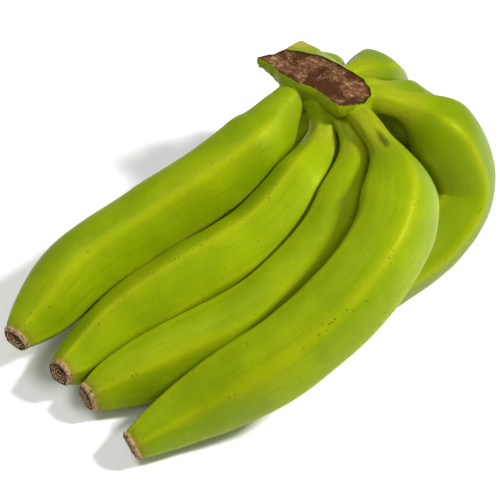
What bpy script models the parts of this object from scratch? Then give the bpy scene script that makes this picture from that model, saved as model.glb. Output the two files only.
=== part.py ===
"""A hand of green plantains lying on a surface.

Eight fingers grow from one cut crown, four in each of two rows. The outer row curls under and
carries the inner row, whose tips slope down to the surface. X runs along the fingers, from the
tips at -X to the crown's side at +X, Z points up, and the origin is on the surface below the
middle of the hand.
"""
from dataclasses import dataclass

import bmesh
import bpy
import numpy as np
from mathutils import Vector

MM = 0.001

# Finger mesh
RINGS = 24
POINTS_AROUND = 16
ROUTE_SAMPLES = 160

# Finger form
RIDGES = 5
RIDGE_SHARPNESS = 9.0
RIDGE_SHARE = 0.5          # 0 is a round finger, 1 a full pentagon
STALK_RADIUS = 4.0 * MM    # of the strand that roots the neck inside the crown
STALK_LENGTH = 14.0 * MM
TIP_RADIUS = 7.6 * MM
TIP_BLUNTNESS = 2.2

# Skin colours, linear, and roughness
INNER_SKIN = ((0.30, 0.40, 0.01), 0.42)
OUTER_SKIN = ((0.25, 0.35, 0.01), 0.45)
CROWN_COLOUR = (0.20, 0.22, 0.03)
CROWN_ROUGHNESS = 0.7

# Clearances
FINGER_GAP = 1.2 * MM      # between fingers that press together
CROWN_GAP = 0.4 * MM       # between the necks and the crown


@dataclass
class Finger:
    """One finger. Route points are in millimetres, from inside the crown to the tip."""
    route: list
    radius: float          # of the full body
    neck_radius: float
    neck_length: float
    shoulder_length: float  # over which the neck widens to the body
    taper_length: float    # over which the body narrows to the tip
    roll: float            # turns the ridges about the centre line, radians
    skin: tuple            # linear colour and roughness


FINGERS = {
    "finger_1": Finger(
        [(67, 56, 110), (49, 52, 106), (29, 48, 95), (-4, 50, 81), (-48, 61, 63),
         (-108, 68, 46), (-144, 62, 35), (-168, 55, 33)],
        23.3 * MM, 10.0 * MM, 1.0 * MM, 54.0 * MM, 66.0 * MM, 0.3, INNER_SKIN),
    "finger_2": Finger(
        [(71, 43, 111), (66, 29, 104), (54, 19, 93), (27, 8, 79), (-11, 4, 64),
         (-60, 13, 50), (-107, 24, 31), (-138, 24, 24), (-160, 20, 27)],
        23.3 * MM, 10.0 * MM, 20.0 * MM, 48.0 * MM, 80.0 * MM, 0.0, INNER_SKIN),
    "finger_3": Finger(
        [(75, 35, 112), (72, 14, 106), (63, -5, 98), (40, -25, 84), (5, -37, 68),
         (-49, -34, 45), (-99, -14, 26), (-135, -3, 19), (-155, -1, 19)],
        22.3 * MM, 9.5 * MM, 28.0 * MM, 55.0 * MM, 68.0 * MM, 0.62, INNER_SKIN),
    "finger_4": Finger(
        [(79, 22, 112), (74, 0, 115), (64, -34, 109), (41, -64, 99), (0, -80, 83),
         (-54, -75, 54), (-108, -54, 25), (-155, -46, 16)],
        24.6 * MM, 8.5 * MM, 36.0 * MM, 54.0 * MM, 105.0 * MM, 0.40, INNER_SKIN),
    "finger_5": Finger(
        [(87, 25, 111), (98, 9, 115), (113, -8, 107), (127, -29, 84), (128, -41, 53),
         (98, -47, 31), (49, -44, 21), (0, -44, 21)],
        23.3 * MM, 9.0 * MM, 28.0 * MM, 40.0 * MM, 58.0 * MM, 0.0, OUTER_SKIN),
    "finger_6": Finger(
        [(89, 33, 112), (104, 25, 111), (127, 17, 86), (146, 9, 61), (141, 0, 38),
         (102, -4, 23), (46, -2, 19), (-24, 0, 21)],
        21.5 * MM, 7.5 * MM, 18.0 * MM, 35.0 * MM, 58.0 * MM, 0.0, OUTER_SKIN),
    "finger_7": Finger(
        [(88, 45, 111), (106, 44, 112), (130, 51, 90), (148, 59, 62), (141, 58, 39),
         (102, 50, 24), (44, 46, 19), (-28, 46, 21)],
        21.5 * MM, 7.5 * MM, 12.0 * MM, 40.0 * MM, 58.0 * MM, 0.0, OUTER_SKIN),
    "finger_8": Finger(
        [(83, 61, 112), (93, 71, 111), (105, 77, 91), (109, 79, 64), (86, 81, 39),
         (37, 84, 22), (-15, 86, 18), (-67, 86, 21)],
        20.5 * MM, 7.5 * MM, 12.0 * MM, 33.0 * MM, 58.0 * MM, 0.0, OUTER_SKIN),
}

# The crown is a slab lofted along its own axis, which runs level across the hand.
CROWN_START = Vector((57.0, 87.0, 0.0))
CROWN_AXIS = Vector((0.357, -0.934, 0.0)).normalized()
CROWN_ACROSS = Vector((0.934, 0.357, 0.0)).normalized()   # towards the outer row
CUT_HEIGHT = 125.0
FULL_DEPTH = 24.0          # of the thickest section, below the cut


@dataclass
class CrownStation:
    """One cross-section of the crown, in millimetres."""
    along: float
    front: float           # front edge of the cut face, across the axis
    back: float            # back edge of the cut face
    flare: float           # outermost point of the shoulder behind the cut
    flare_drop: float      # of that point below the cut
    depth: float           # of the underside below the cut


CROWN_STATIONS = [
    CrownStation(0, -1, 1, 2, 2, 9),
    CrownStation(6, -1, 7, 9, 4, 14),
    CrownStation(13, -3, 17, 39, 7, 18),
    CrownStation(24, -8, 20, 38, 8, 21),
    CrownStation(37, -11, 22, 33, 8, 23),
    CrownStation(49, -11, 20, 28, 7, 24),
    CrownStation(60, -15, 17, 22, 6, 23),
    CrownStation(70, -19, 14, 17, 5, 20),
    CrownStation(78, -14, 8, 10, 4, 14),
    CrownStation(83, -9, 2, 3, 3, 8),
]


def clear_scene():
    for scene_object in list(bpy.data.objects):
        bpy.data.objects.remove(scene_object, do_unlink=True)


def skin_material(name, colour, roughness):
    material = bpy.data.materials.new(name)
    material.use_nodes = True
    shader = material.node_tree.nodes["Principled BSDF"]
    shader.inputs["Base Color"].default_value = (*colour, 1.0)
    shader.inputs["Roughness"].default_value = roughness
    shader.inputs["Metallic"].default_value = 0.0
    material.diffuse_color = (*colour, 1.0)
    return material


def smooth_route(points):
    """Centre line through the points (in mm), as evenly spaced samples in metres."""
    knots = np.array(points, float) * MM
    knots = np.vstack([2 * knots[0] - knots[1], knots, 2 * knots[-1] - knots[-2]])
    times = np.concatenate([[0.0], np.cumsum(np.linalg.norm(np.diff(knots, axis=0), axis=1) ** 0.5)])
    curve = []
    for time in np.linspace(times[1], times[-2], 4 * ROUTE_SAMPLES):
        first = min(max(int(np.searchsorted(times, time, side="right")) - 2, 0), len(knots) - 4)
        curve.append(catmull_rom(knots[first:first + 4], times[first:first + 4], time))
    return evenly_spaced(np.array(curve), ROUTE_SAMPLES)


def catmull_rom(knots, times, time):
    """Point at a time on the piece of curve between the second and the third of four knots."""
    points = list(knots)
    for span in (1, 2):
        points = [
            blend(points[i], points[i + 1], times[i], times[i + span], time)
            for i in range(len(points) - 1)
        ]
    return blend(points[0], points[1], times[1], times[2], time)


def blend(start, end, start_time, end_time, time):
    share = (time - start_time) / (end_time - start_time)
    return start * (1.0 - share) + end * share


def evenly_spaced(curve, count):
    steps = np.linalg.norm(np.diff(curve, axis=0), axis=1)
    arc = np.concatenate([[0.0], np.cumsum(steps)])
    wanted = np.linspace(0.0, arc[-1], count)
    return np.stack([np.interp(wanted, arc, curve[:, axis]) for axis in range(3)], axis=1)


def ease(share):
    share = np.clip(share, 0.0, 1.0)
    return share * share * (3.0 - 2.0 * share)


def girth(finger, arc):
    """Radius of a finger at each distance along its centre line."""
    rooting = ease(arc / STALK_LENGTH)
    neck = STALK_RADIUS + (finger.neck_radius - STALK_RADIUS) * rooting
    widening = ease((arc - finger.neck_length) / finger.shoulder_length)
    body = neck + (finger.radius - finger.neck_radius) * widening
    tapered = np.clip((arc - arc[-1]) / finger.taper_length + 1.0, 0.0, 1.0)
    taper = tapered ** TIP_BLUNTNESS
    return body * (1.0 - taper) + TIP_RADIUS * taper


def arc_lengths(route):
    steps = np.linalg.norm(np.diff(route, axis=0), axis=1)
    return np.concatenate([[0.0], np.cumsum(steps)])


def ring_axes(route):
    """Two axes across the route at each sample, carried along it without twist."""
    tangents = np.gradient(route, axis=0)
    tangents /= np.linalg.norm(tangents, axis=1)[:, None]
    side = np.cross(tangents[0], (0.0, 0.0, 1.0))
    across = [np.cross(side, tangents[0]) / np.linalg.norm(side)]
    for tangent in tangents[1:]:
        carried = across[-1] - tangent * np.dot(across[-1], tangent)
        across.append(carried / np.linalg.norm(carried))
    across = np.array(across)
    return across, np.cross(tangents, across)


def ridged_section(angles, roll):
    """Radius of a softly ridged section, as a share of the girth radius."""
    flats = roll + np.arange(RIDGES) * 2.0 * np.pi / RIDGES
    facing = np.clip(np.cos(angles[:, None] - flats[None, :]), 0.0, None)
    polygon = np.sum(facing ** RIDGE_SHARPNESS, axis=1) ** (-1.0 / RIDGE_SHARPNESS)
    return 1.0 - RIDGE_SHARE + RIDGE_SHARE * polygon / polygon.mean()


def depth_outside(points, route, radii):
    """Distance from each point to a finger's girth, negative inside it."""
    offsets = points[:, None, :] - route[None, :, :]
    return np.min(np.linalg.norm(offsets, axis=2) - radii[None, :], axis=1)


def press_against(centres, rays, reach, radii, neighbours):
    """Shorten the rays that run past the face where this finger presses on a neighbour."""
    for route, neighbour_radii in neighbours:
        low = np.zeros_like(reach)
        high = reach.copy()
        for _ in range(16):
            middle = (low + high) / 2.0
            points = centres + rays * middle[:, None]
            clearance = depth_outside(points, route, neighbour_radii) - (middle - radii)
            fits = clearance > FINGER_GAP
            low = np.where(fits, middle, low)
            high = np.where(fits, high, middle)
        outermost = depth_outside(centres + rays * reach[:, None], route, neighbour_radii)
        pressed = outermost - (reach - radii) <= FINGER_GAP
        reach = np.where(pressed, low, reach)
    return reach


def finger_rings(finger, route, radii, neighbours):
    """Rings of surface points, from the root to the tip."""
    samples = np.linspace(0, ROUTE_SAMPLES - 1, RINGS).round().astype(int)
    across, aside = ring_axes(route)
    angles = np.arange(POINTS_AROUND) * 2.0 * np.pi / POINTS_AROUND
    section = ridged_section(angles, finger.roll)
    rays = (np.cos(angles)[None, :, None] * across[samples][:, None, :]
            + np.sin(angles)[None, :, None] * aside[samples][:, None, :]).reshape(-1, 3)
    centres = np.repeat(route[samples], POINTS_AROUND, axis=0)
    ring_radii = np.repeat(radii[samples], POINTS_AROUND)
    reach = ring_radii * np.tile(section, RINGS)
    reach = press_against(centres, rays, reach, ring_radii, neighbours)
    return (centres + rays * reach[:, None]).reshape(RINGS, POINTS_AROUND, 3)


def skin_rings(name, rings):
    """Mesh with a skin over rings of equal size and a flat cap at both ends."""
    mesh_maker = bmesh.new()
    loops = [[mesh_maker.verts.new(point) for point in ring] for ring in rings]
    for lower, upper in zip(loops, loops[1:]):
        for i in range(len(lower)):
            j = (i + 1) % len(lower)
            mesh_maker.faces.new((lower[i], lower[j], upper[j], upper[i]))
    mesh_maker.faces.new(list(reversed(loops[0])))
    mesh_maker.faces.new(loops[-1])
    bmesh.ops.recalc_face_normals(mesh_maker, faces=mesh_maker.faces)
    rest_on_surface(mesh_maker)
    mesh = bpy.data.meshes.new(name)
    mesh_maker.to_mesh(mesh)
    mesh_maker.free()
    return mesh


def rest_on_surface(mesh_maker):
    """Flatten what lies below the surface to a face on it."""
    everything = list(mesh_maker.verts) + list(mesh_maker.edges) + list(mesh_maker.faces)
    bmesh.ops.bisect_plane(
        mesh_maker, geom=everything, dist=1e-6, plane_co=(0, 0, 0), plane_no=(0, 0, 1),
        clear_inner=True)
    rim = [edge for edge in mesh_maker.edges if edge.is_boundary]
    if rim:
        bmesh.ops.holes_fill(mesh_maker, edges=rim, sides=0)


def add_object(name, mesh, material):
    mesh.shade_smooth()
    mesh.set_sharp_from_angle(angle=np.radians(40.0))
    mesh.materials.append(material)
    new_object = bpy.data.objects.new(name, mesh)
    bpy.context.scene.collection.objects.link(new_object)
    return new_object


def crown_section(station):
    """Points around one cross-section of the crown, as (across, height) in millimetres."""
    size = station.depth / FULL_DEPTH
    underside = CUT_HEIGHT - station.depth
    flare_height = CUT_HEIGHT - station.flare_drop
    return [
        (station.front, CUT_HEIGHT),
        (station.front - 2.0 * size, CUT_HEIGHT - 5.0 * size),
        (station.front - 1.0 * size, CUT_HEIGHT - 12.0 * size),
        (station.front + 5.0 * size, CUT_HEIGHT - 15.0 * size),
        (station.front + 8.0 * size, underside),
        (station.back - 2.0 * size, underside),
        (station.flare - 4.0 * size, flare_height - 9.0 * size),
        (station.flare, flare_height),
        ((station.back + station.flare) / 2, CUT_HEIGHT - 0.42 * station.flare_drop),
        (station.back, CUT_HEIGHT),
    ]


def crown_rings():
    rings = []
    for station in CROWN_STATIONS:
        middle = CROWN_START + CROWN_AXIS * station.along
        rings.append([
            (middle + CROWN_ACROSS * across + Vector((0, 0, height))) * MM
            for across, height in crown_section(station)
        ])
    return rings


def make_crown(material):
    return add_object("crown", skin_rings("crown", crown_rings()), material)


def make_crown_gap(crown):
    """Cutter a little larger than the crown, which keeps the necks clear of it."""
    mesh = crown.data.copy()
    normals = [vertex.normal.copy() for vertex in mesh.vertices]
    for vertex, normal in zip(mesh.vertices, normals):
        vertex.co += normal * CROWN_GAP
    cutter = bpy.data.objects.new("crown_gap", mesh)
    bpy.context.scene.collection.objects.link(cutter)
    cutter.hide_render = True
    cutter.display_type = "WIRE"
    return cutter


def make_fingers(cutter):
    routes = {name: smooth_route(finger.route) for name, finger in FINGERS.items()}
    radii = {name: girth(finger, arc_lengths(routes[name])) for name, finger in FINGERS.items()}
    for name, finger in FINGERS.items():
        neighbours = [(routes[other], radii[other]) for other in FINGERS if other != name]
        rings = finger_rings(finger, routes[name], radii[name], neighbours)
        material = skin_material(name + "_skin", *finger.skin)
        body = add_object(name, skin_rings(name, rings), material)
        cut = body.modifiers.new("crown_gap", "BOOLEAN")
        cut.operation = "DIFFERENCE"
        cut.solver = "EXACT"
        cut.object = cutter


def main():
    clear_scene()
    crown = make_crown(skin_material("crown_skin", CROWN_COLOUR, CROWN_ROUGHNESS))
    make_fingers(make_crown_gap(crown))


main()
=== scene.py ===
"""Looks of the hand of green plantains: the skin of each finger, the crown and the studio.

Every finger of the frame is replaced by a dense skin along the same centre line, and the crown by a
fused body with the roots of the necks. Points are in the frame's own axes.
"""
from dataclasses import dataclass

import bpy
import numpy as np
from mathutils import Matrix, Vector, noise


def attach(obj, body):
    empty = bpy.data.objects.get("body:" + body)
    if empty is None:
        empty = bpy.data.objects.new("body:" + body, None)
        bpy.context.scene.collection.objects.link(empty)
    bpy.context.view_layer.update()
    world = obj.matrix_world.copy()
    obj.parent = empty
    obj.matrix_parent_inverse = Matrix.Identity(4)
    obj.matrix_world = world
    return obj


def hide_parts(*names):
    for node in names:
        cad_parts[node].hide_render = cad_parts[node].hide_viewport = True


MM = 0.001

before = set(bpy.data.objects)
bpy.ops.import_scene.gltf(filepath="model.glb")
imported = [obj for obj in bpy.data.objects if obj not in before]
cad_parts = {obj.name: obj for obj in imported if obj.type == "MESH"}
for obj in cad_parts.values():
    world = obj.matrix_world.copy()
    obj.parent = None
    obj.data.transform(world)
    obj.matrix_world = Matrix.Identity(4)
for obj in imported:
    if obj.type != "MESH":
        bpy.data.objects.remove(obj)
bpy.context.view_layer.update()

# Finger mesh
BODY_RINGS = 132
TIP_RINGS = 16
POINTS_AROUND = 96
ROUTE_SAMPLES = 200

# Finger form
RIDGES = 5
RIDGE_SHARPNESS = 9.0
RIDGE_SHARE = 0.5          # 0 is a round finger, 1 a full pentagon
RIDGE_HEIGHT = 0.35 * MM   # of the fine line along each ridge
RIDGE_WIDTH = 0.10         # of that line, radians
TIP_RADIUS = 8.3 * MM
TIP_BLUNTNESS = 2.2
SWELL = 0.7 * MM           # slow unevenness of the body
SWELL_SIZE = 38.0 * MM
SCAR_LENGTH = 2.8 * MM     # of the dry flower end, along the finger
FINGER_GAP = 0.5 * MM

# Rings of the flower end's face: share of its radius, and height in millimetres
TIP_FACE = [(0.93, 0.25), (0.84, 0.10), (0.74, -0.70), (0.62, -0.15), (0.50, -0.75), (0.38, -0.45),
            (0.26, -1.20), (0.13, -1.70)]

# Crown mesh
CROWN_VOXEL = 0.65 * MM
CROWN_SECTIONS = 60
CROWN_POINTS = 96
COLLAR_LENGTH = 26.0 * MM  # of each neck's root that belongs to the crown
COLLAR_RINGS = 28
COLLAR_POINTS = 48

INNER_FINGERS = 4          # the first fingers are the inner row, the others the outer row
OUTER_PAINTED_SHADE = 0.7          # share of painted shade on the outer row: how far the green of its bodies is darkened
RIDGE_GLOW = 0.16          # width of the yellower skin along each ridge, radians


@dataclass
class Finger:
    """One finger. Route points are in millimetres, from inside the crown to the tip."""
    route: list
    radius: float          # of the full body
    neck_radius: float
    neck_length: float
    shoulder_length: float  # over which the neck widens to the body
    taper_length: float    # over which the body narrows to the tip
    roll: float            # turns the ridges about the centre line, radians


FINGERS = {
    "finger_1": Finger(
        [(67, 56, 110), (49, 52, 106), (29, 48, 95), (-4, 50, 81), (-48, 61, 63),
         (-108, 68, 46), (-144, 62, 35), (-168, 55, 33)],
        23.3 * MM, 10.0 * MM, 1.0 * MM, 54.0 * MM, 66.0 * MM, 0.3),
    "finger_2": Finger(
        [(71, 43, 111), (66, 29, 104), (54, 19, 93), (27, 8, 79), (-11, 4, 64),
         (-60, 13, 50), (-107, 24, 31), (-138, 24, 24), (-160, 20, 27)],
        23.3 * MM, 10.0 * MM, 20.0 * MM, 48.0 * MM, 80.0 * MM, 0.0),
    "finger_3": Finger(
        [(75, 35, 112), (72, 14, 106), (63, -5, 98), (40, -25, 84), (5, -37, 68),
         (-49, -34, 45), (-99, -14, 26), (-135, -3, 19), (-155, -1, 19)],
        22.3 * MM, 9.5 * MM, 28.0 * MM, 55.0 * MM, 68.0 * MM, 0.62),
    "finger_4": Finger(
        [(79, 22, 112), (74, 0, 115), (64, -34, 109), (41, -64, 99), (0, -80, 83),
         (-54, -75, 54), (-108, -54, 25), (-155, -46, 16)],
        24.6 * MM, 8.5 * MM, 36.0 * MM, 54.0 * MM, 105.0 * MM, 0.40),
    "finger_5": Finger(
        [(87, 25, 111), (98, 9, 115), (113, -8, 107), (127, -29, 84), (128, -41, 53),
         (98, -47, 31), (49, -44, 21), (0, -44, 21)],
        23.3 * MM, 9.0 * MM, 28.0 * MM, 40.0 * MM, 58.0 * MM, 0.0),
    "finger_6": Finger(
        [(89, 33, 112), (104, 25, 111), (127, 17, 86), (146, 9, 61), (141, 0, 38),
         (102, -4, 23), (46, -2, 19), (-24, 0, 21)],
        21.5 * MM, 7.5 * MM, 18.0 * MM, 35.0 * MM, 58.0 * MM, 0.0),
    "finger_7": Finger(
        [(88, 45, 111), (106, 44, 112), (130, 51, 90), (148, 59, 62), (141, 58, 39),
         (102, 50, 24), (44, 46, 19), (-28, 46, 21)],
        21.5 * MM, 7.5 * MM, 12.0 * MM, 40.0 * MM, 58.0 * MM, 0.0),
    "finger_8": Finger(
        [(83, 61, 112), (93, 71, 111), (105, 77, 91), (109, 79, 64), (86, 81, 39),
         (37, 84, 22), (-15, 86, 18), (-67, 86, 21)],
        20.5 * MM, 7.5 * MM, 12.0 * MM, 33.0 * MM, 58.0 * MM, 0.0),
}


@dataclass
class Smear:
    """A dark smear of dried latex on a finger."""
    along: float           # from the crown, metres
    angle: float           # about the centre line, radians
    length: float          # half its length, metres
    width: float           # half its width, radians


SMEARS = {
    "finger_4": [Smear(46 * MM, 0.2, 22 * MM, 0.5)],
    "finger_5": [Smear(46 * MM, -1.0, 22 * MM, 0.8), Smear(60 * MM, -1.3, 26 * MM, 0.7)],
}

CROWN_START = np.array([57.0, 87.0, 0.0])
CROWN_AXIS = np.array([0.357, -0.934, 0.0])
CROWN_ACROSS = np.array([0.934, 0.357, 0.0])   # towards the outer row
CUT_HEIGHT = 125.0
CUT_DOME = 6.0             # of the body above the cut, before the cut is made
FULL_DEPTH = 24.0


@dataclass
class CrownStation:
    """One cross-section of the crown, in millimetres."""
    along: float
    front: float           # front edge of the cut face, across the axis
    back: float            # back edge of the cut face
    flare: float           # outermost point of the shoulder behind the cut
    flare_drop: float      # of that point below the cut
    depth: float           # of the underside below the cut


CROWN_STATIONS = [
    CrownStation(0, -1, 1, 2, 2, 9),
    CrownStation(6, -1, 7, 9, 4, 14),
    CrownStation(13, -3, 17, 39, 7, 18),
    CrownStation(24, -8, 20, 38, 8, 21),
    CrownStation(37, -11, 22, 33, 8, 23),
    CrownStation(49, -11, 20, 28, 7, 24),
    CrownStation(60, -15, 17, 22, 6, 23),
    CrownStation(70, -19, 14, 17, 5, 20),
    CrownStation(78, -14, 8, 10, 4, 14),
    CrownStation(83, -9, 2, 3, 3, 8),
]


# Curves -------------------------------------------------------------------------------------

def blend(start, end, start_time, end_time, time):
    share = (time - start_time) / (end_time - start_time)
    return start * (1.0 - share) + end * share


def catmull_rom(knots, times, time):
    """Point at a time on the piece of curve between the second and the third of four knots."""
    points = list(knots)
    for span in (1, 2):
        points = [
            blend(points[i], points[i + 1], times[i], times[i + span], time)
            for i in range(len(points) - 1)
        ]
    return blend(points[0], points[1], times[1], times[2], time)


def smooth_curve(knots, count):
    """Smooth curve through the knots, as evenly spaced points."""
    knots = np.array(knots, float)
    knots = np.vstack([2 * knots[0] - knots[1], knots, 2 * knots[-1] - knots[-2]])
    steps = np.linalg.norm(np.diff(knots, axis=0), axis=1) ** 0.5
    times = np.concatenate([[0.0], np.cumsum(steps)])
    curve = []
    for time in np.linspace(times[1], times[-2], 4 * count):
        first = min(max(int(np.searchsorted(times, time, side="right")) - 2, 0), len(knots) - 4)
        curve.append(catmull_rom(knots[first:first + 4], times[first:first + 4], time))
    curve = np.array(curve)
    arc = arc_lengths(curve)
    return interpolate(np.linspace(0.0, arc[-1], count), arc, curve)


def arc_lengths(curve):
    steps = np.linalg.norm(np.diff(curve, axis=0), axis=1)
    return np.concatenate([[0.0], np.cumsum(steps)])


def interpolate(wanted, arc, values):
    columns = [np.interp(wanted, arc, values[:, i]) for i in range(values.shape[1])]
    return np.stack(columns, axis=1)


def ease(share):
    share = np.clip(share, 0.0, 1.0)
    return share * share * (3.0 - 2.0 * share)


def unit(vectors):
    return vectors / np.linalg.norm(vectors, axis=-1, keepdims=True)


def carried_axes(route):
    """Tangent and two axes across the route at each sample, carried along it without twist."""
    tangents = unit(np.gradient(route, axis=0))
    side = np.cross(tangents[0], (0.0, 0.0, 1.0))
    across = [unit(np.cross(side, tangents[0]))]
    for tangent in tangents[1:]:
        across.append(unit(across[-1] - tangent * np.dot(across[-1], tangent)))
    across = np.array(across)
    return tangents, across, np.cross(tangents, across)


def fractal(points, size, octaves, seed):
    """Smooth unevenness of about -1 to 1 at each point, with features of the given size."""
    shift = Vector((17.0 * seed, -9.0 * seed, 5.0 * seed))
    return np.array([
        noise.fractal(Vector(point) / size + shift, 0.6, 2.0, octaves) for point in points
    ])


# Fingers ------------------------------------------------------------------------------------

def girth(finger, arc, length):
    """Radius of a finger at each distance along its centre line."""
    widening = ease((arc - finger.neck_length) / finger.shoulder_length)
    body = finger.neck_radius + (finger.radius - finger.neck_radius) * widening
    tapered = np.clip((arc - length) / finger.taper_length + 1.0, 0.0, 1.0)
    taper = tapered ** TIP_BLUNTNESS
    return body * (1.0 - taper) + TIP_RADIUS * taper


def angle_to_ridge(angles, roll):
    """Angle from each direction to the nearest ridge, in radians."""
    step = 2.0 * np.pi / RIDGES
    return np.abs((angles - roll + step) % step - step / 2.0)


def ridged_section(angles, roll):
    """Radius of a softly ridged section, as a share of the girth radius."""
    flats = roll + np.arange(RIDGES) * 2.0 * np.pi / RIDGES
    facing = np.clip(np.cos(angles[:, None] - flats[None, :]), 0.0, None)
    polygon = np.sum(facing ** RIDGE_SHARPNESS, axis=1) ** (-1.0 / RIDGE_SHARPNESS)
    return 1.0 - RIDGE_SHARE + RIDGE_SHARE * polygon / polygon.mean()


def depth_outside(points, route, radii):
    """Distance from each point to a finger's girth, negative inside it."""
    offsets = points[:, None, :] - route[None, :, :]
    return np.min(np.linalg.norm(offsets, axis=2) - radii[None, :], axis=1)


def press_against(centres, rays, reach, radii, neighbours):
    """Shorten the rays that run past the face where this finger presses on a neighbour."""
    for route, neighbour_radii in neighbours:
        ends = centres + rays * reach[:, None]
        clearance = depth_outside(ends, route, neighbour_radii) - (reach - radii)
        pressed = np.flatnonzero(clearance < FINGER_GAP)
        if not len(pressed):
            continue
        low = np.zeros(len(pressed))
        high = reach[pressed]
        for _ in range(14):
            middle = (low + high) / 2.0
            points = centres[pressed] + rays[pressed] * middle[:, None]
            clearance = depth_outside(points, route, neighbour_radii) - (middle - radii[pressed])
            fits = clearance > FINGER_GAP
            low = np.where(fits, middle, low)
            high = np.where(fits, high, middle)
        reach[pressed] = low
    return reach


def soften(reach, full_reach, passes):
    """Round the edge of a pressed face."""
    loss = full_reach - reach
    for _ in range(passes):
        around = (np.roll(loss, 1, axis=1) + 2.0 * loss + np.roll(loss, -1, axis=1)) / 4.0
        along = around.copy()
        along[1:-1] = (around[:-2] + 2.0 * around[1:-1] + around[2:]) / 4.0
        loss = along
    return full_reach - loss


class FingerShape:
    """Centre line, girth and carried axes of one finger."""

    def __init__(self, finger):
        self.finger = finger
        self.route = smooth_curve(finger.route, ROUTE_SAMPLES) * MM
        self.arc = arc_lengths(self.route)
        self.length = self.arc[-1]
        self.radii = girth(finger, self.arc, self.length)
        self.tangents, self.across, self.aside = carried_axes(self.route)

    def at(self, arc):
        """Centre, tangent, two axes across and girth radius at some distances along."""
        centre = interpolate(arc, self.arc, self.route)
        tangent = unit(interpolate(arc, self.arc, self.tangents))
        across = unit(interpolate(arc, self.arc, self.across))
        aside = unit(interpolate(arc, self.arc, self.aside))
        return centre, tangent, across, aside, np.interp(arc, self.arc, self.radii)


def finger_surface(shape, neighbours, seed):
    """Grid of skin points, with the distance along and the angle of each."""
    tip_start = shape.length - 2.5 * SCAR_LENGTH
    arc = np.concatenate([
        np.linspace(0.0, tip_start, BODY_RINGS, endpoint=False),
        np.linspace(tip_start, shape.length, TIP_RINGS),
    ])
    angles = np.arange(POINTS_AROUND) * 2.0 * np.pi / POINTS_AROUND
    centre, _, across, aside, radii = shape.at(arc)
    rays = (np.cos(angles)[None, :, None] * across[:, None, :]
            + np.sin(angles)[None, :, None] * aside[:, None, :])
    section = ridged_section(angles, shape.finger.roll)
    ridge = np.exp(-(angle_to_ridge(angles, shape.finger.roll) / RIDGE_WIDTH) ** 2)
    body = ease((arc - shape.finger.neck_length) / shape.finger.shoulder_length)
    full = radii[:, None] * section[None, :] + RIDGE_HEIGHT * np.outer(body, ridge)
    flat_rays = rays.reshape(-1, 3)
    centres = np.repeat(centre, POINTS_AROUND, axis=0)
    swell = fractal(centres + flat_rays * full.reshape(-1, 1), SWELL_SIZE, 2, seed)
    full += SWELL * swell.reshape(full.shape) * body[:, None]
    pressed = press_against(
        centres, flat_rays, full.flatten(), np.repeat(radii, POINTS_AROUND), neighbours)
    reach = soften(pressed.reshape(full.shape), full, 2)
    reach += scar_relief(arc - shape.length, angles, seed)
    points = centre[:, None, :] + rays * reach[:, :, None]
    points[:, :, 2] = np.maximum(points[:, :, 2], 0.0)
    return points, arc, angles


def scar_relief(from_tip, angles, seed):
    """Change of reach round the dry flower end: a pinched neck, then a ragged flange."""
    rag = fractal(np.stack([np.cos(angles), np.sin(angles), 0.0 * angles], axis=1), 0.5, 3, seed)
    edge = -SCAR_LENGTH + 1.4 * MM * rag[None, :]
    pinch = np.exp(-((from_tip[:, None] - edge) / (1.2 * MM)) ** 2)
    flange = np.exp(-((from_tip[:, None] + 1.2 * MM) / (1.1 * MM)) ** 2)
    rounding = ease((from_tip[:, None] + 0.8 * MM) / (0.8 * MM))
    return (-0.55 * pinch + (0.5 + 0.5 * rag[None, :]) * flange - 0.6 * rounding) * MM


def tip_face(shape, rim, seed):
    """Rings that close the flower end: a raised rim, two ring grooves and a pit."""
    centre = rim.mean(axis=0)
    outward = shape.tangents[-1]
    rings = []
    for share, lift in TIP_FACE:
        ring = centre + (rim - centre) * share + outward * lift * MM
        ring = ring + outward * 0.35 * MM * fractal(ring, 2.2 * MM, 2, seed)[:, None]
        rings.append(ring)
    return rings, centre - outward * 1.8 * MM


def grid_faces(rings, points_around):
    faces = []
    for ring in range(rings - 1):
        for i in range(points_around):
            j = (i + 1) % points_around
            low = ring * points_around
            high = low + points_around
            faces.append((low + i, low + j, high + j, high + i))
    return faces


def add_piece(name, mesh, material, node):
    """Link a visual piece that stands for a CAD node."""
    mesh.materials.clear()
    mesh.materials.append(material)
    mesh.shade_smooth()
    piece = bpy.data.objects.new(name, mesh)
    bpy.context.scene.collection.objects.link(piece)
    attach(piece, "root")
    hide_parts(node)
    return piece


def add_attribute(mesh, name, values):
    attribute = mesh.attributes.new(name, "FLOAT", "POINT")
    attribute.data.foreach_set("value", np.asarray(values, np.float32))


def add_vector_attribute(mesh, name, vectors):
    attribute = mesh.attributes.new(name, "FLOAT_VECTOR", "POINT")
    attribute.data.foreach_set("vector", np.asarray(vectors, np.float32).ravel())


def smears(name, along, around):
    """Strength of the dark latex smears at each point of a finger."""
    strength = np.zeros(len(along))
    for smear in SMEARS.get(name, []):
        turn = (around - smear.angle + np.pi) % (2.0 * np.pi) - np.pi
        distance = np.hypot((along - smear.along) / smear.length, turn / smear.width)
        strength = np.maximum(strength, ease(1.0 - distance))
    return strength


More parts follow.
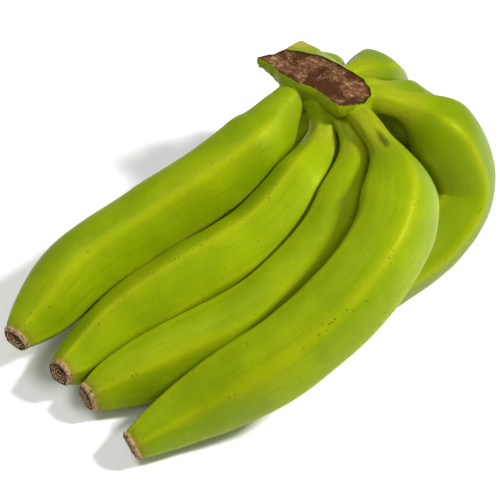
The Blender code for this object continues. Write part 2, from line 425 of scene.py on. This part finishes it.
def make_finger(name, shape, neighbours, seed, material):
    points, arc, angles = finger_surface(shape, neighbours, seed)
    face_rings, pit = tip_face(shape, points[-1], seed)
    rings = list(points) + face_rings
    vertices = np.concatenate([np.concatenate(rings), [shape.route[0], pit]])
    faces = grid_faces(len(rings), POINTS_AROUND)
    root = len(vertices) - 2
    last = (len(rings) - 1) * POINTS_AROUND
    for i in range(POINTS_AROUND):
        j = (i + 1) % POINTS_AROUND
        faces.append((root, j, i))
        faces.append((last + i, last + j, root + 1))
    mesh = bpy.data.meshes.new(name + "_skin")
    mesh.from_pydata(vertices.tolist(), [], faces)
    face_count = len(face_rings) * POINTS_AROUND
    along = np.concatenate(
        [np.repeat(arc, POINTS_AROUND), np.full(face_count, arc[-1]), [0.0, arc[-1]]])
    around = np.concatenate([np.tile(angles, len(rings)), [0.0, 0.0]])
    widening = ease((along - shape.finger.neck_length) / shape.finger.shoulder_length)
    add_attribute(mesh, "neck", 1.0 - widening)
    add_attribute(mesh, "from_tip", shape.length - along)
    ridge = np.exp(-(angle_to_ridge(around, shape.finger.roll) / RIDGE_GLOW) ** 2)
    add_attribute(mesh, "ridge", ridge)
    rim = np.repeat([share for share, _ in TIP_FACE], POINTS_AROUND)
    add_attribute(mesh, "rim", np.concatenate([np.ones(len(arc) * POINTS_AROUND), rim, [1.0, 0.0]]))
    add_attribute(mesh, "smear", smears(name, along, around))
    add_vector_attribute(mesh, "grain", np.stack([
        0.022 * np.cos(around), 0.022 * np.sin(around), along + 0.5 * seed], axis=1))
    return add_piece(name + "_skin", mesh, material, name)


# Crown --------------------------------------------------------------------------------------

def crown_frame(points):
    """Distance along the crown, across it and height of each point, in millimetres."""
    local = points / MM - CROWN_START
    return local @ CROWN_AXIS, local @ CROWN_ACROSS, points[:, 2] / MM


def crown_outline(along):
    """Front and back edges of the cut at distances along the crown, in millimetres."""
    stops = [station.along for station in CROWN_STATIONS]
    front = np.interp(along, stops, [station.front for station in CROWN_STATIONS])
    back = np.interp(along, stops, [station.back for station in CROWN_STATIONS])
    return front, back


def crown_section(station):
    """Points around one cross-section of the crown, as (across, height) in millimetres."""
    size = station.depth / FULL_DEPTH
    flare_height = CUT_HEIGHT - station.flare_drop
    dome = CUT_DOME * min(1.0, (station.back - station.front) / 20.0)
    return [
        (station.front, CUT_HEIGHT),
        (station.front - 2.0 * size, CUT_HEIGHT - 5.0 * size),
        (station.front - 1.0 * size, CUT_HEIGHT - 12.0 * size),
        (station.front + 5.0 * size, CUT_HEIGHT - 15.0 * size),
        (station.front + 8.0 * size, CUT_HEIGHT - station.depth),
        (station.back - 2.0 * size, CUT_HEIGHT - station.depth),
        (station.flare - 4.0 * size, flare_height - 9.0 * size),
        (station.flare, flare_height),
        ((station.back + station.flare) / 2, CUT_HEIGHT - 0.42 * station.flare_drop),
        (station.back, CUT_HEIGHT),
        (station.back - 0.15 * (station.back - station.front), CUT_HEIGHT + 0.8 * dome),
        (station.front + 0.15 * (station.back - station.front), CUT_HEIGHT + 0.8 * dome),
    ]


def closed_curve(points, count):
    """Smooth closed curve through the points."""
    points = np.array(points, float)
    wrapped = np.vstack([points[-2:], points, points[:2]])
    steps = np.linalg.norm(np.diff(wrapped, axis=0), axis=1) ** 0.5 + 1e-6
    times = np.concatenate([[0.0], np.cumsum(steps)])
    curve = []
    for time in np.linspace(times[2], times[2 + len(points)], count, endpoint=False):
        first = int(np.searchsorted(times, time, side="right")) - 2
        curve.append(catmull_rom(wrapped[first:first + 4], times[first:first + 4], time))
    return np.array(curve)


def crown_rings():
    """Smooth rings of the crown's body, along its axis."""
    sections = np.array([closed_curve(crown_section(s), CROWN_POINTS) for s in CROWN_STATIONS])
    stops = np.array([station.along for station in CROWN_STATIONS], float)
    rings = []
    for along in np.linspace(stops[0], stops[-1], CROWN_SECTIONS):
        first = min(max(int(np.searchsorted(stops, along, side="right")) - 1, 0), len(stops) - 2)
        share = ease((along - stops[first]) / (stops[first + 1] - stops[first]))
        section = sections[first] * (1.0 - share) + sections[first + 1] * share
        middle = CROWN_START + CROWN_AXIS * along
        rings.append(middle[None, :] + section[:, :1] * CROWN_ACROSS[None, :]
                     + section[:, 1:] * np.array([0.0, 0.0, 1.0]))
    return np.array(rings) * MM


def closed_tube(rings):
    """Vertices and faces of a closed body through rings of equal size."""
    count = rings.shape[1]
    vertices = np.concatenate([rings.reshape(-1, 3), [rings[0].mean(axis=0), rings[-1].mean(axis=0)]])
    faces = grid_faces(len(rings), count)
    start = len(vertices) - 2
    last = (len(rings) - 1) * count
    for i in range(count):
        j = (i + 1) % count
        faces.append((start, j, i))
        faces.append((last + i, last + j, start + 1))
    return vertices, faces


def collar_rings(shape):
    """Rings of a neck's root, a little proud of the neck at first and then sinking into it."""
    arc = np.linspace(0.0, COLLAR_LENGTH, COLLAR_RINGS)
    centre, _, across, aside, radii = shape.at(arc)
    angles = np.arange(COLLAR_POINTS) * 2.0 * np.pi / COLLAR_POINTS
    section = ridged_section(angles, shape.finger.roll)
    sink = ease((arc - 0.35 * COLLAR_LENGTH) / (0.65 * COLLAR_LENGTH))
    reach = (radii + (0.7 - 1.6 * sink) * MM)[:, None] * section[None, :]
    return (centre[:, None, :]
            + np.cos(angles)[None, :, None] * across[:, None, :] * reach[:, :, None]
            + np.sin(angles)[None, :, None] * aside[:, None, :] * reach[:, :, None])


def fused_crown(shapes):
    """One skin over the crown's body and the necks' roots, rounded where they meet."""
    vertices = []
    faces = []
    count = 0
    for rings in [crown_rings()] + [collar_rings(shape) for shape in shapes]:
        tube_vertices, tube_faces = closed_tube(rings)
        vertices.append(tube_vertices)
        faces += [tuple(count + i for i in face) for face in tube_faces]
        count += len(tube_vertices)
    mesh = bpy.data.meshes.new("crown_body")
    mesh.from_pydata(np.concatenate(vertices).tolist(), [], faces)
    body = bpy.data.objects.new("crown_body", mesh)
    bpy.context.scene.collection.objects.link(body)
    remesh = body.modifiers.new("fuse", "REMESH")
    remesh.mode = "VOXEL"
    remesh.voxel_size = CROWN_VOXEL
    rounding = body.modifiers.new("rounding", "SMOOTH")
    rounding.factor = 0.5
    rounding.iterations = 10
    evaluated = body.evaluated_get(bpy.context.evaluated_depsgraph_get())
    fused = bpy.data.meshes.new_from_object(evaluated)
    bpy.data.objects.remove(body)
    return fused


def vertex_positions(mesh):
    positions = np.empty(len(mesh.vertices) * 3, np.float32)
    mesh.vertices.foreach_get("co", positions)
    return positions.reshape(-1, 3).astype(float)


def make_cut(points):
    """Press the crown's dome down to a dished, fibrous cut. Returns the points and the cut's mask."""
    along, across, height = crown_frame(points)
    front, back = crown_outline(along)
    far_end = CROWN_STATIONS[-1].along
    inside = np.minimum(np.minimum(across - front, back - across), np.minimum(along, far_end - along))
    fibres = fractal(np.stack([0.18 * along, across, 0.0 * along], axis=1), 2.2, 3, 3)
    lumps = fractal(np.stack([along, across, 0.0 * along], axis=1), 7.0, 3, 5)
    dish = 2.2 * (1.0 - np.exp(-np.maximum(inside, 0.0) / 3.5))
    surface = CUT_HEIGHT - dish + 0.45 * fibres + 0.7 * lumps * ease(inside / 3.0)
    top = ((height > surface) & (inside > -3.0)) | ((height > CUT_HEIGHT - 6.0) & (inside > 1.0))
    cut = points.copy()
    cut[top, 2] = surface[top] * MM
    return cut, top.astype(float), inside


def weathering(points):
    """How dry and pale the skin is: 1 on the peak behind the cut, fading round it."""
    along, across, height = crown_frame(points)
    reach = np.hypot((along - 12.0) / 12.0, (across - 32.0) / 10.0)
    return ease(1.3 - reach) * ease((height - CUT_HEIGHT + 22.0) / 6.0)


def make_crown(shapes, material):
    mesh = fused_crown(shapes)
    points, cut, inside = make_cut(vertex_positions(mesh))
    mesh.vertices.foreach_set("co", points.astype(np.float32).ravel())
    mesh.update()
    add_attribute(mesh, "cut", cut)
    add_attribute(mesh, "inside", inside * MM)
    add_attribute(mesh, "weathered", weathering(points))
    add_vector_attribute(mesh, "grain", points)
    return add_piece("crown_skin", mesh, material, "crown")


# Studio -------------------------------------------------------------------------------------

CAMERA_AZIMUTH = -40.0
CAMERA_ELEVATION = 45.0
CAMERA_DISTANCE = 0.90
CAMERA_TARGET = Vector((-15.0, 9.0, 50.0)) * MM
LIGHT_TARGET = Vector((0.0, 0.0, 0.05))
FLOOR_HALF_WIDTH = 6.0
WORLD_STRENGTH = 0.14


def direction(azimuth, elevation):
    """Unit vector towards an azimuth and an elevation, both in degrees. Azimuth 0 is -Y."""
    azimuth, elevation = np.radians([azimuth, elevation])
    return Vector((np.sin(azimuth) * np.cos(elevation), -np.cos(azimuth) * np.cos(elevation),
                   np.sin(elevation)))


def aim(new_object, target):
    new_object.rotation_euler = (target - new_object.location).to_track_quat("-Z", "Y").to_euler()


def add_camera():
    camera = bpy.data.objects.new("camera", bpy.data.cameras.new("camera"))
    bpy.context.scene.collection.objects.link(camera)
    camera.data.lens = 100.0
    camera.data.sensor_width = 36.0
    towards_camera = direction(CAMERA_AZIMUTH, CAMERA_ELEVATION)
    camera.location = CAMERA_TARGET + towards_camera * CAMERA_DISTANCE
    aim(camera, CAMERA_TARGET)
    bpy.context.scene.camera = camera


def add_area_light(name, azimuth, elevation, distance, size, power):
    light = bpy.data.objects.new(name, bpy.data.lights.new(name, "AREA"))
    bpy.context.scene.collection.objects.link(light)
    light.data.size = size
    light.data.energy = power
    light.location = direction(azimuth, elevation) * distance
    aim(light, LIGHT_TARGET)


def add_floor():
    material = bpy.data.materials.new("floor")
    material.use_nodes = True
    shader = material.node_tree.nodes["Principled BSDF"]
    shader.inputs["Base Color"].default_value = (0.97, 0.97, 0.97, 1.0)
    shader.inputs["Roughness"].default_value = 0.9
    shader.inputs["Specular IOR Level"].default_value = 0.0
    mesh = bpy.data.meshes.new("floor")
    half = FLOOR_HALF_WIDTH
    corners = [(-half, -half, 0), (half, -half, 0), (half, half, 0), (-half, half, 0)]
    mesh.from_pydata(corners, [], [(0, 1, 2, 3)])
    mesh.materials.append(material)
    floor = bpy.data.objects.new("floor", mesh)
    bpy.context.scene.collection.objects.link(floor)


def add_studio():
    add_area_light("key", 38.0, 50.0, 1.4, 0.18, 25.0)
    add_area_light("back", -145.0, 62.0, 1.4, 0.50, 8.0)
    add_area_light("fill", -60.0, 55.0, 1.6, 1.2, 5.0)
    world = bpy.data.worlds.new("studio")
    world.use_nodes = True
    background = world.node_tree.nodes["Background"]
    background.inputs["Color"].default_value = (1.0, 1.0, 1.0, 1.0)
    background.inputs["Strength"].default_value = WORLD_STRENGTH
    bpy.context.scene.world = world
    bpy.context.scene.view_settings.view_transform = "Standard"
    add_floor()


# Materials ----------------------------------------------------------------------------------

# Linear colours
GREEN = (0.156, 0.234, 0.001)
YELLOW_GREEN = (0.216, 0.288, 0.001)
RIDGE_YELLOW = (0.296, 0.336, 0.003)
NECK_YELLOW = (0.240, 0.272, 0.006)
PAINTED_SHADE_GREEN = (0.120, 0.181, 0.001)     # painted shade of the outer fingers: their green, darkened
SHADE_GREEN = (0.092, 0.164, 0.001)
SPECK_BROWN = (0.060, 0.045, 0.008)
SCUFF_TAN = (0.184, 0.120, 0.020)
SMEAR_GREEN = (0.032, 0.052, 0.002)
SCAR_DARK = (0.030, 0.011, 0.006)
SCAR_TAN = (0.380, 0.240, 0.130)
PEEL_TAN = (0.330, 0.270, 0.050)
CUT_DARK = (0.048, 0.014, 0.009)
CUT_BROWN = (0.120, 0.042, 0.022)
CUT_TAN = (0.400, 0.272, 0.136)
RELIEF_DEPTH = 0.12 * MM


class Shading:
    """Short names for the nodes of one material."""

    def __init__(self, name):
        self.material = bpy.data.materials.new(name)
        self.material.use_nodes = True
        self.tree = self.material.node_tree
        self.shader = self.tree.nodes["Principled BSDF"]

    def node(self, kind, inputs=None, **settings):
        new_node = self.tree.nodes.new("ShaderNode" + kind)
        for setting, value in settings.items():
            setattr(new_node, setting, value)
        for socket, value in (inputs or {}).items():
            self.feed(new_node.inputs[socket], value)
        return new_node

    def feed(self, socket, value):
        if isinstance(value, bpy.types.NodeSocket):
            self.tree.links.new(value, socket)
        elif isinstance(value, tuple) and len(value) == 3 and socket.type == "RGBA":
            socket.default_value = (*value, 1.0)
        else:
            socket.default_value = value

    def place(self):
        return self.node("TexCoord").outputs["Object"]

    def attribute(self, name, output="Fac"):
        return self.node("Attribute", attribute_name=name).outputs[output]

    def math(self, operation, first, second=0.0):
        return self.node("Math", {0: first, 1: second}, operation=operation).outputs[0]

    def step(self, value, low, high):
        """0 below low, 1 above high, smooth between them. The limits may be in falling order."""
        node = self.node("MapRange", {"Value": value}, interpolation_type="SMOOTHSTEP")
        node.inputs["From Min"].default_value = min(low, high)
        node.inputs["From Max"].default_value = max(low, high)
        node.inputs["To Min"].default_value = 0.0 if low < high else 1.0
        node.inputs["To Max"].default_value = 1.0 if low < high else 0.0
        return node.outputs["Result"]

    def noise(self, vector, scale, detail=3.0, roughness=0.55, distortion=0.0):
        node = self.node("TexNoise", {"Vector": vector, "Scale": scale, "Detail": detail,
                                      "Roughness": roughness, "Distortion": distortion})
        return node.outputs["Fac"]

    def stretch(self, vector, factors):
        return self.node("VectorMath", {0: vector, 1: factors}, operation="MULTIPLY").outputs[0]

    def dots(self, vector, scale, size, share):
        """1 in small round dots, one in some of the cells of a grid that is 1 / scale wide."""
        cell = self.node("TexVoronoi", {"Vector": vector, "Scale": scale})
        chosen = self.math("LESS_THAN", self.node(
            "SeparateColor", {"Color": cell.outputs["Color"]}).outputs[0], share)
        return self.math("MULTIPLY", self.step(cell.outputs["Distance"], size, 0.6 * size), chosen)

    def mix(self, share, first, second):
        node = self.node("Mix", data_type="RGBA")
        self.feed(node.inputs[0], share)
        self.feed(node.inputs[6], first)
        self.feed(node.inputs[7], second)
        return node.outputs[2]

    def finish(self, colour, roughness, height, depth):
        """Connect the colour, the roughness and a relief of the given depth in metres."""
        self.feed(self.shader.inputs["Base Color"], colour)
        self.feed(self.shader.inputs["Roughness"], roughness)
        bump = self.node("Bump", {"Height": height, "Distance": depth, "Strength": 1.0})
        self.feed(self.shader.inputs["Normal"], bump.outputs["Normal"])
        self.shader.inputs["Specular IOR Level"].default_value = 0.22
        self.shader.inputs["Specular Tint"].default_value = (1.0, 1.0, 0.10, 1.0)
        return self.material


def skin_colour(shading, neckness):
    """Green skin with slow changes of tone, lengthwise streaks and a fine mottle.

    Returns the colour, the place and the lengthwise grain.
    """
    place = shading.place()
    grain = shading.attribute("grain", "Vector")
    tone = shading.step(shading.noise(place, 22.0, 4.0), 0.36, 0.66)
    colour = shading.mix(tone, GREEN, YELLOW_GREEN)
    streaks = shading.step(shading.noise(shading.stretch(grain, (1.0, 1.0, 0.06)), 420.0), 0.45, 0.75)
    colour = shading.mix(shading.math("MULTIPLY", streaks, 0.30), colour, SHADE_GREEN)
    mottle = shading.step(shading.noise(place, 260.0, 2.0), 0.50, 0.75)
    colour = shading.mix(shading.math("MULTIPLY", mottle, 0.16), colour, RIDGE_YELLOW)
    colour = shading.mix(neckness, colour, NECK_YELLOW)
    return colour, place, grain


def add_specks(shading, colour, place):
    """Small brown dots scattered over the skin."""
    dots = shading.dots(place, 110.0, 0.085, 0.45)
    colour = shading.mix(shading.math("MULTIPLY", dots, 0.75), colour, SPECK_BROWN)
    fine_dots = shading.dots(place, 300.0, 0.15, 0.16)
    return shading.mix(shading.math("MULTIPLY", fine_dots, 0.6), colour, SPECK_BROWN)


def finger_material(name, depth):
    """Skin of the fingers. The depth, 0 to 1, is the share of painted shade on the bodies."""
    shading = Shading(name)
    neck = shading.attribute("neck")
    from_tip = shading.attribute("from_tip")
    neckness = shading.math("MULTIPLY", shading.step(neck, 0.30, 0.95), 0.45)
    colour, place, grain = skin_colour(shading, neckness)
    # Painted shade: the green of the bodies is darkened by the given share.
    painted_shade = shading.math("MULTIPLY", shading.step(neck, 1.0, 0.3), depth)
    colour = shading.mix(painted_shade, colour, PAINTED_SHADE_GREEN)

    ridge = shading.math("MULTIPLY", shading.attribute("ridge"), shading.step(neck, 0.60, 0.05))
    colour = shading.mix(shading.math("MULTIPLY", ridge, 0.50), colour, RIDGE_YELLOW)
    worn = shading.step(shading.noise(place, 60.0, 3.0), 0.46, 0.60)
    specks = shading.dots(place, 420.0, 0.34, 0.45)
    speckled = shading.math("MULTIPLY", shading.math("MULTIPLY", specks, worn), ridge)
    colour = shading.mix(shading.math("MULTIPLY", speckled, 0.8), colour, SPECK_BROWN)
    colour = add_specks(shading, colour, place)

    scratch = shading.noise(shading.stretch(grain, (1.0, 1.0, 0.10)), 330.0, 4.0, 0.6)
    rubbed = shading.step(shading.noise(place, 30.0, 2.0), 0.60, 0.72)
    scuffs = shading.math("MULTIPLY", shading.step(scratch, 0.60, 0.68), rubbed)
    colour = shading.mix(shading.math("MULTIPLY", scuffs, 0.45), colour, SCUFF_TAN)
    patchy = shading.noise(shading.stretch(grain, (1.0, 1.0, 0.45)), 420.0, 5.0, 0.85)
    smeared = shading.step(shading.math("ADD", shading.attribute("smear"), patchy), 0.95, 1.35)
    colour = shading.mix(shading.math("MULTIPLY", smeared, 0.80), colour, SMEAR_GREEN)
    scuff_patches = shading.noise(shading.stretch(grain, (1.0, 1.0, 0.25)), 420.0, 4.0, 0.7)
    neck_scuffs = shading.math("MULTIPLY", shading.step(scuff_patches, 0.52, 0.58),
                               shading.step(neck, 0.45, 0.85))
    colour = shading.mix(shading.math("MULTIPLY", neck_scuffs, 0.45), colour, SCUFF_TAN)

    ragged = shading.noise(shading.stretch(grain, (1.0, 1.0, 0.30)), 480.0, 3.0)
    unevenness = shading.math("MULTIPLY", shading.math("SUBTRACT", ragged, 0.5), 0.005)
    edge = shading.math("ADD", from_tip, unevenness)
    scar = shading.step(edge, 0.0032, 0.0022)
    singed = shading.step(edge, 0.010, 0.003)
    rings = shading.math("SINE", shading.math("MULTIPLY", shading.attribute("rim"), 26.0))
    flaked = shading.noise(place, 520.0, 4.0, 0.75)
    pale = shading.step(shading.math("ADD", flaked, shading.math("MULTIPLY", rings, 0.16)), 0.48, 0.66)
    scar_colour = shading.mix(pale, SCAR_DARK, SCAR_TAN)
    colour = shading.mix(shading.math("MULTIPLY", singed, 0.40), colour, SCUFF_TAN)
    colour = shading.mix(scar, colour, scar_colour)

    roughness = shading.math("ADD", 0.38, shading.math("MULTIPLY", shading.noise(place, 120.0), 0.14))
    roughness = shading.math("MAXIMUM", roughness, shading.math("MULTIPLY", scar, 0.85))
    fine = shading.noise(place, 900.0, 3.0)
    grainy = shading.noise(shading.stretch(grain, (1.0, 1.0, 0.08)), 700.0, 2.0)
    skin_relief = shading.math(
        "ADD", shading.math("MULTIPLY", fine, 0.4), shading.math("MULTIPLY", grainy, 0.6))
    flakes = shading.math("MULTIPLY", shading.math("MULTIPLY", flaked, scar), 4.0)
    height = shading.math("ADD", skin_relief, flakes)
    return shading.finish(colour, roughness, height, RELIEF_DEPTH)


def crown_material():
    shading = Shading("crown_skin")
    colour, place, _ = skin_colour(shading, 0.25)
    colour = add_specks(shading, colour, place)
    inside = shading.attribute("inside")
    near_cut = shading.step(inside, -0.009, -0.002)
    torn = shading.step(shading.noise(place, 160.0, 5.0, 0.75), 0.50, 0.58)
    weathered = shading.math(
        "ADD", shading.attribute("weathered"), shading.noise(place, 200.0, 4.0, 0.7))
    peeled = shading.math("MULTIPLY", shading.step(weathered, 0.85, 1.15), 0.8)
    colour = shading.mix(peeled, colour, PEEL_TAN)
    colour = shading.mix(
        shading.math("MULTIPLY", shading.math("MULTIPLY", torn, near_cut), 0.35), colour, SCUFF_TAN)

    turned = shading.node("VectorRotate", {"Vector": place, "Angle": np.radians(69.0)},
                          rotation_type="Z_AXIS").outputs[0]
    fibre_place = shading.stretch(turned, (0.40, 1.0, 1.0))
    fibres = shading.noise(fibre_place, 560.0, 5.0, 0.75, 1.2)
    patches = shading.noise(place, 75.0, 3.0, 0.6, 0.8)
    cut_colour = shading.mix(shading.step(patches, 0.38, 0.62), CUT_DARK, CUT_BROWN)
    pale = shading.math("MULTIPLY", shading.step(fibres, 0.50, 0.60), shading.step(patches, 0.36, 0.60))
    cut_colour = shading.mix(shading.math("MULTIPLY", pale, 0.75), cut_colour, CUT_TAN)
    pits = shading.step(shading.noise(place, 520.0, 4.0, 0.7), 0.44, 0.34)
    cut_colour = shading.mix(shading.math("MULTIPLY", pits, 0.8), cut_colour, SCAR_DARK)
    rim_width = shading.math("ADD", inside, shading.math(
        "MULTIPLY", shading.math("SUBTRACT", shading.noise(place, 400.0, 3.0), 0.5), 0.002))
    cut_colour = shading.mix(shading.step(rim_width, 0.0026, 0.0004), cut_colour, SCAR_DARK)
    cut = shading.step(shading.attribute("cut"), 0.25, 0.55)
    colour = shading.mix(cut, colour, cut_colour)

    roughness = shading.math("ADD", 0.42, shading.math("MULTIPLY", cut, 0.45))
    height = shading.math("ADD", shading.noise(place, 900.0, 3.0), shading.math(
        "MULTIPLY", shading.math("MULTIPLY", fibres, cut), 6.0))
    return shading.finish(colour, roughness, height, RELIEF_DEPTH)


def main():
    shapes = {name: FingerShape(finger) for name, finger in FINGERS.items()}
    skins = {
        "inner_skin": finger_material("inner_skin", 0.0),
        # the outer row gets a copy of the skin with painted shade
        "outer_skin": finger_material("outer_skin", OUTER_PAINTED_SHADE),
    }
    for number, (name, shape) in enumerate(shapes.items(), start=1):
        neighbours = [(s.route, s.radii) for other, s in shapes.items() if other != name]
        slot = "inner_skin" if number <= INNER_FINGERS else "outer_skin"
        make_finger(name, shape, neighbours, number, skins[slot])
    make_crown(list(shapes.values()), crown_material())
    add_camera()
    add_studio()


main()
